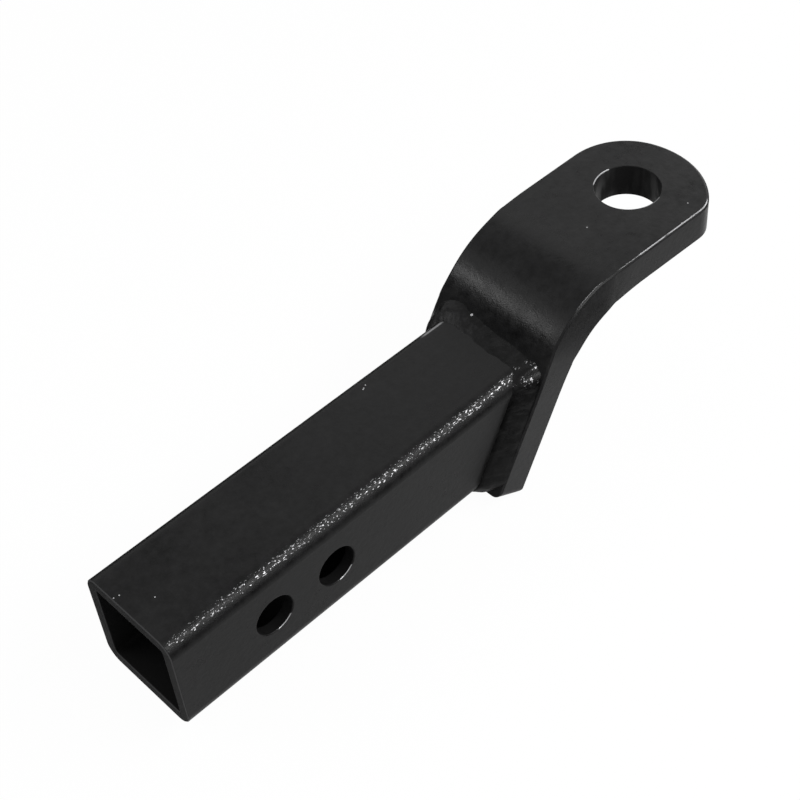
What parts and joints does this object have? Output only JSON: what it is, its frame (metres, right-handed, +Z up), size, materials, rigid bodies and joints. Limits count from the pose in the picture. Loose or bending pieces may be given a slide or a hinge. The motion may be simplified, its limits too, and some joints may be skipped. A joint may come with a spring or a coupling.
{
  "type": "towing ball mount",
  "caption": "Black-painted steel ball mount: square hollow shank with cross pin holes, welded to a flat bar tongue with one bend and a level end holding the tow ball's hole.",
  "frame": {"origin": "on the shank's centre axis, where the axis of the pin hole nearest the open end crosses it", "axes": "+X along the shank from the open end towards the ball, +Y across the vehicle along the pin holes, +Z up along the ball hole"},
  "size_m": [0.3051, 0.0656, 0.0847],
  "materials": {
    "black_paint": "satin black paint over steel, worn bright along the shank's upper edge",
    "painted_weld": "satin black paint over a rippled weld bead"
  },
  "bodies": {
    "root": {"shank_tube": "black_paint", "tongue_plate": "black_paint", "weld_bead": "painted_weld"}
  },
  "joints": []
}
